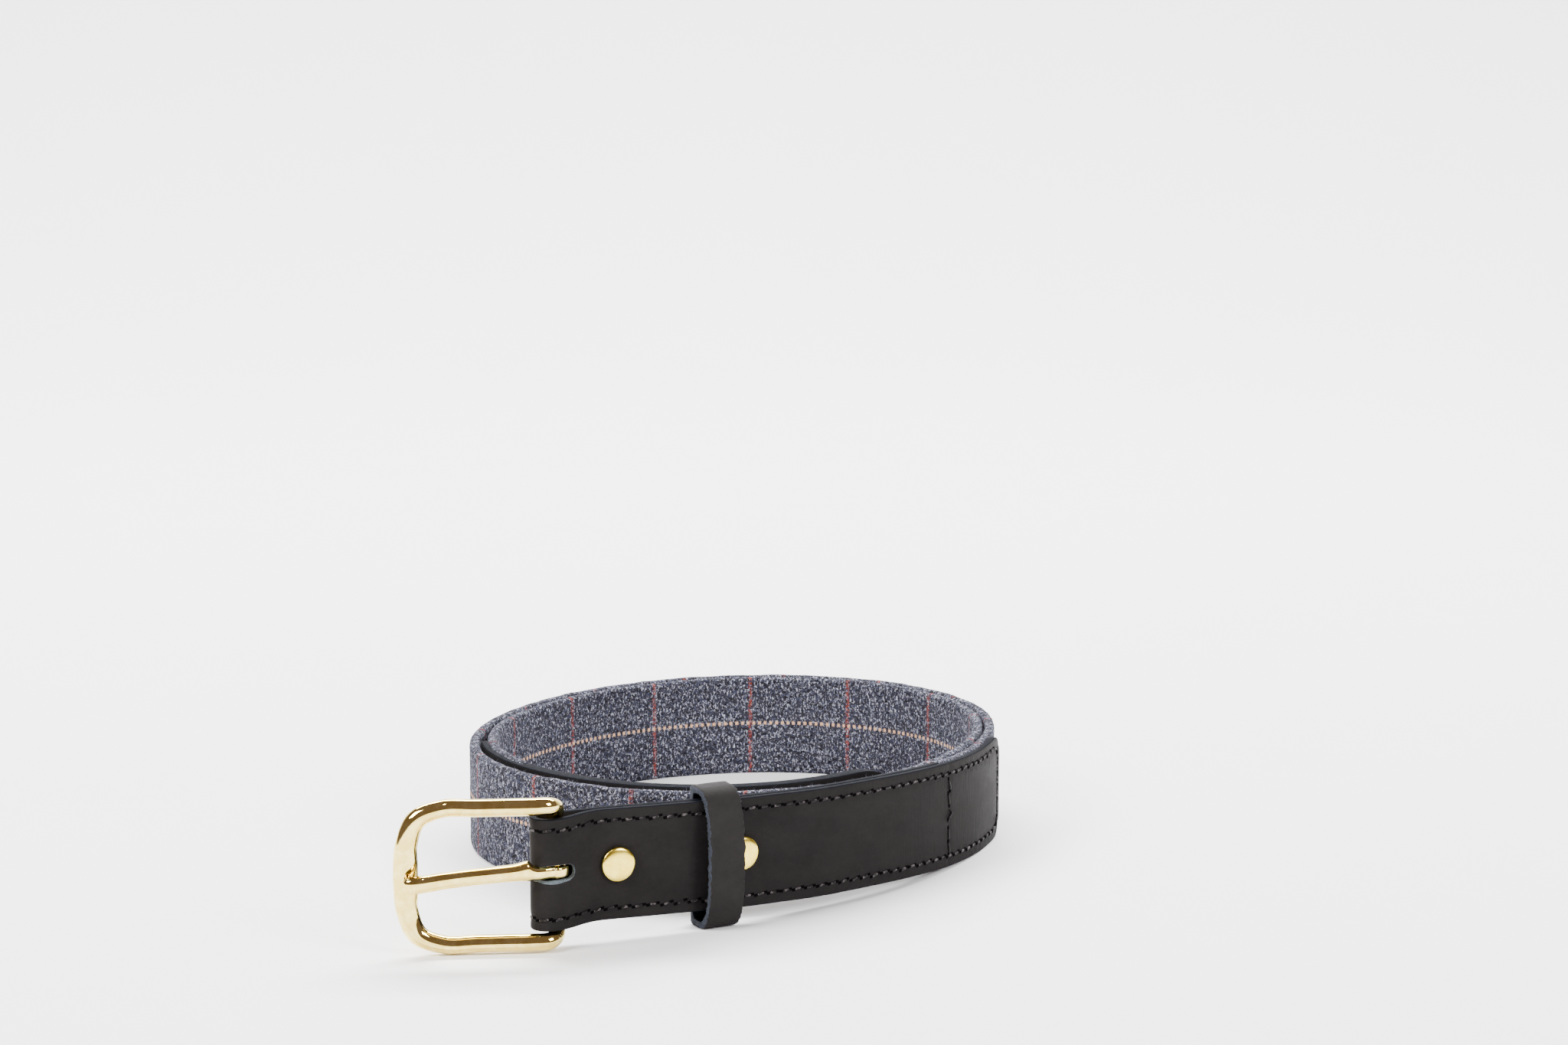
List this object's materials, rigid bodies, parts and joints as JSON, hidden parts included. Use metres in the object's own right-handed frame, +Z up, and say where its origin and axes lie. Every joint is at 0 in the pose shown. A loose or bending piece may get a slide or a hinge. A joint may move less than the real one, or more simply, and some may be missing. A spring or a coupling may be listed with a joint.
{
  "type": "tweed and leather belt with a brass buckle",
  "caption": "Tweed belt with leather ends and a brass pin buckle, rolled up on its edge; the buckle and its prong swing on the heel bar.",
  "frame": {"origin": "on the floor under the middle of the rolled belt's box", "axes": "Z is up, across the width of the strap; X runs to the right of the picture and Y away from it"},
  "size_m": [0.175, 0.2244, 0.0445],
  "materials": {
    "tweed": "heathered charcoal wool tweed",
    "leather": "satin black, fine grain",
    "brass": "polished"
  },
  "bodies": {
    "belt": {"tweed_strap": "tweed", "buckle_tab": "leather", "keeper_loop": "leather", "leather_tip": "leather", "rivet_front": "brass", "rivet_rear": "brass"},
    "buckle": {"buckle_frame": "brass"},
    "tongue": {"prong": "brass"}
  },
  "joints": [
    {"name": "buckle_swing", "type": "hinge", "parent": "belt", "child": "buckle", "pos_m": [-0.04313, -0.09732, 0], "axis": [0, 0, 1], "range_deg": [-60, 15]},
    {"name": "prong_swing", "type": "hinge", "parent": "buckle", "child": "tongue", "pos_m": [-0.04313, -0.09732, 0], "axis": [0, 0, 1], "range_deg": [0, 80]}
  ]
}
